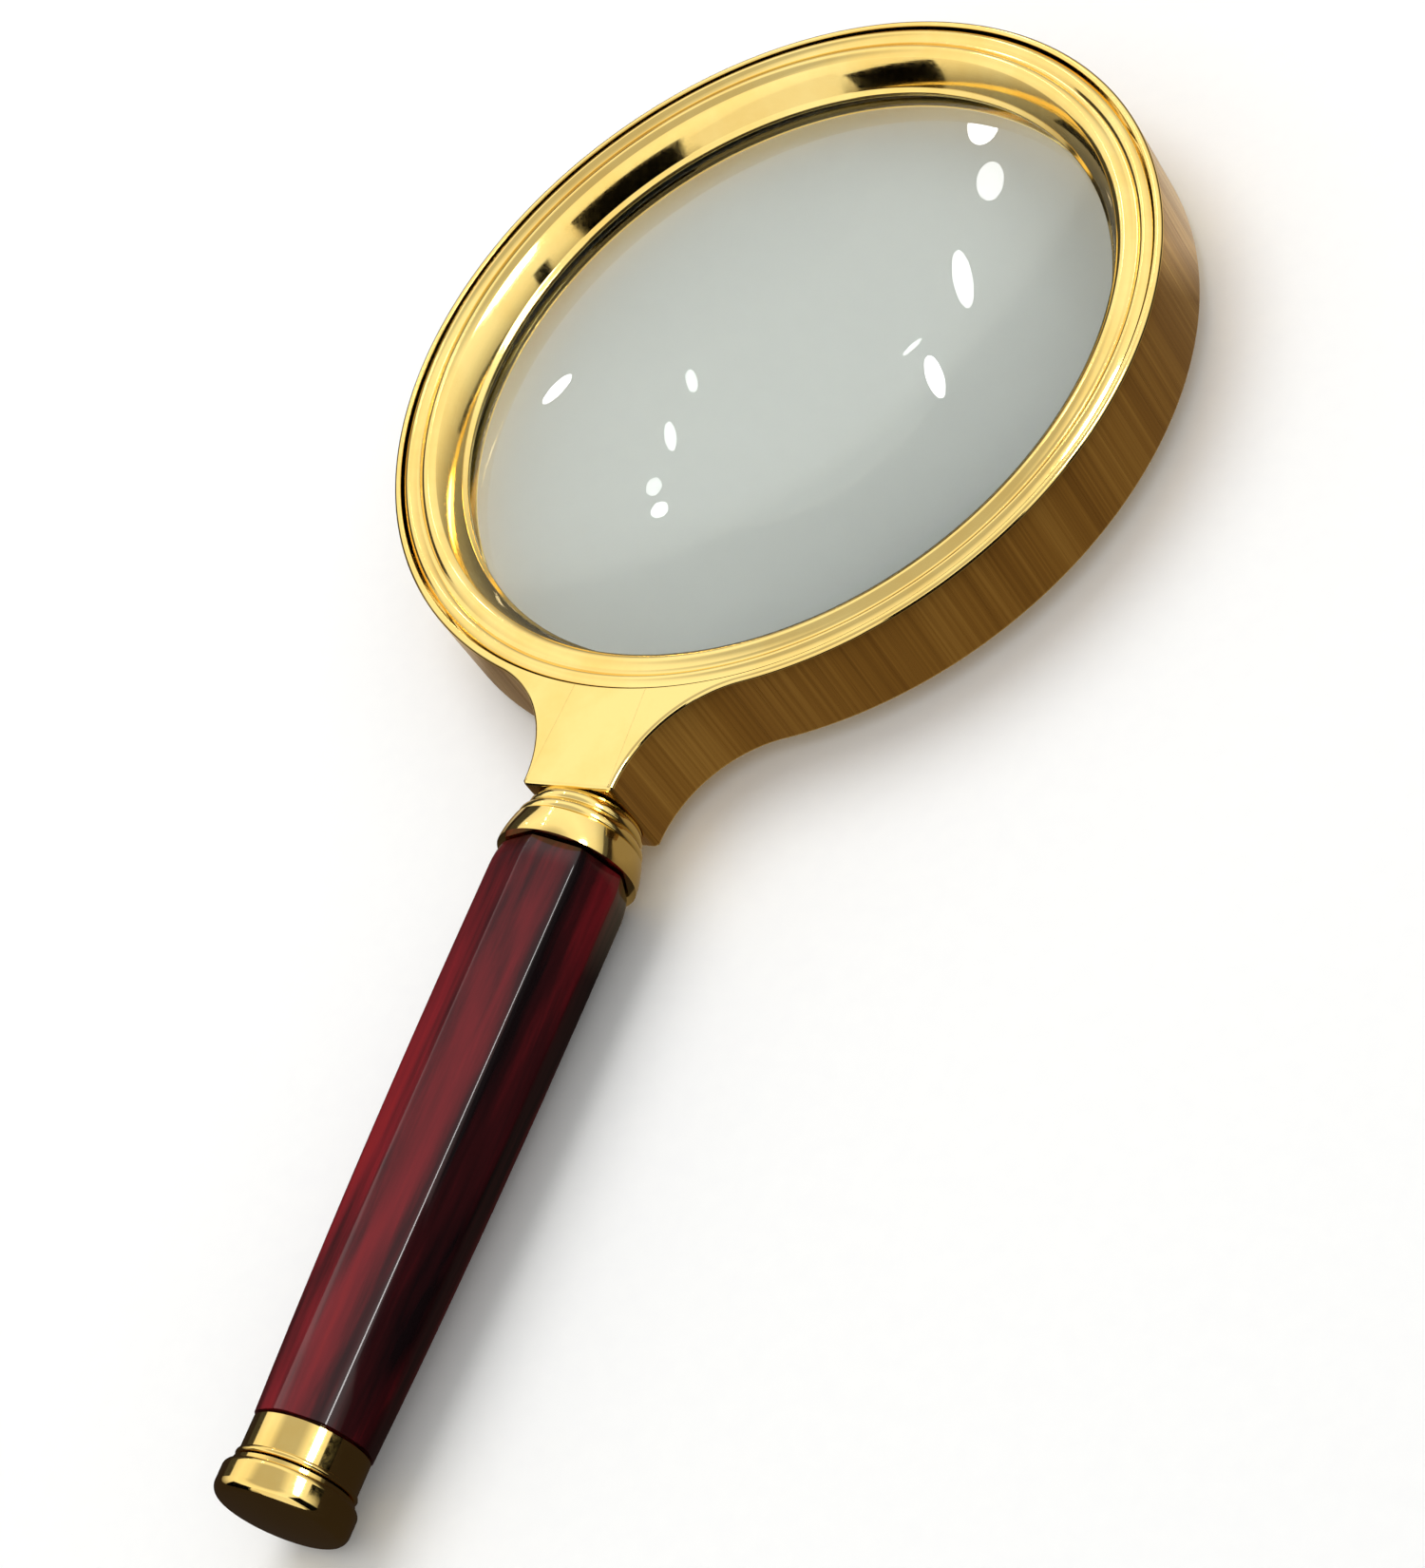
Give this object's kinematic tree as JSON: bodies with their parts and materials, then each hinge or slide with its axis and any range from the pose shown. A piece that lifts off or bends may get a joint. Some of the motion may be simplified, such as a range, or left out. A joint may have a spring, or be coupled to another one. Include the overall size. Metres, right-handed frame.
{
  "type": "magnifying glass",
  "caption": "Round hand magnifier, 90 mm glass in a gilt cast ring with a beaded front bezel, eight-sided rosewood-look handle on a tie rod, screwed gilt end cap.",
  "frame": {"origin": "under the middle of the whole magnifier, at the height of the surface that it lies on", "axes": "+Z along the lens axis towards the front bezel, the handle runs from the ring along -Y, X is the axis of symmetry"},
  "size_m": [0.098, 0.196, 0.0163],
  "materials": {
    "gilt": "polished",
    "lens_glass": "clear",
    "rosewood_lacquer": "gloss",
    "zinced_steel": "satin",
    "gasket_rubber": "matte"
  },
  "bodies": {
    "magnifier": {"frame_body": "gilt", "front_bezel": "gilt", "lens": "lens_glass", "lens_gasket": "gasket_rubber", "tie_rod": "zinced_steel", "ferrule": "gilt", "handle_sleeve": "rosewood_lacquer", "end_collar": "gilt"},
    "cap_carrier": {"cap_washer": "zinced_steel"},
    "cap": {"end_cap": "gilt"}
  },
  "joints": [
    {"name": "cap_travel", "type": "slide", "parent": "magnifier", "child": "cap_carrier", "axis": [0, -1, 0], "range_m": [0, 0.0022]},
    {"name": "cap_unscrew", "type": "hinge", "parent": "cap_carrier", "child": "cap", "pos_m": [0, -0.09335, 0.00815], "axis": [0, -1, 0], "range_deg": [0, 1080]}
  ],
  "couplings": [
    {"joint": "cap_travel", "follows": "cap_unscrew", "m_per_rad": 0.00011141}
  ]
}
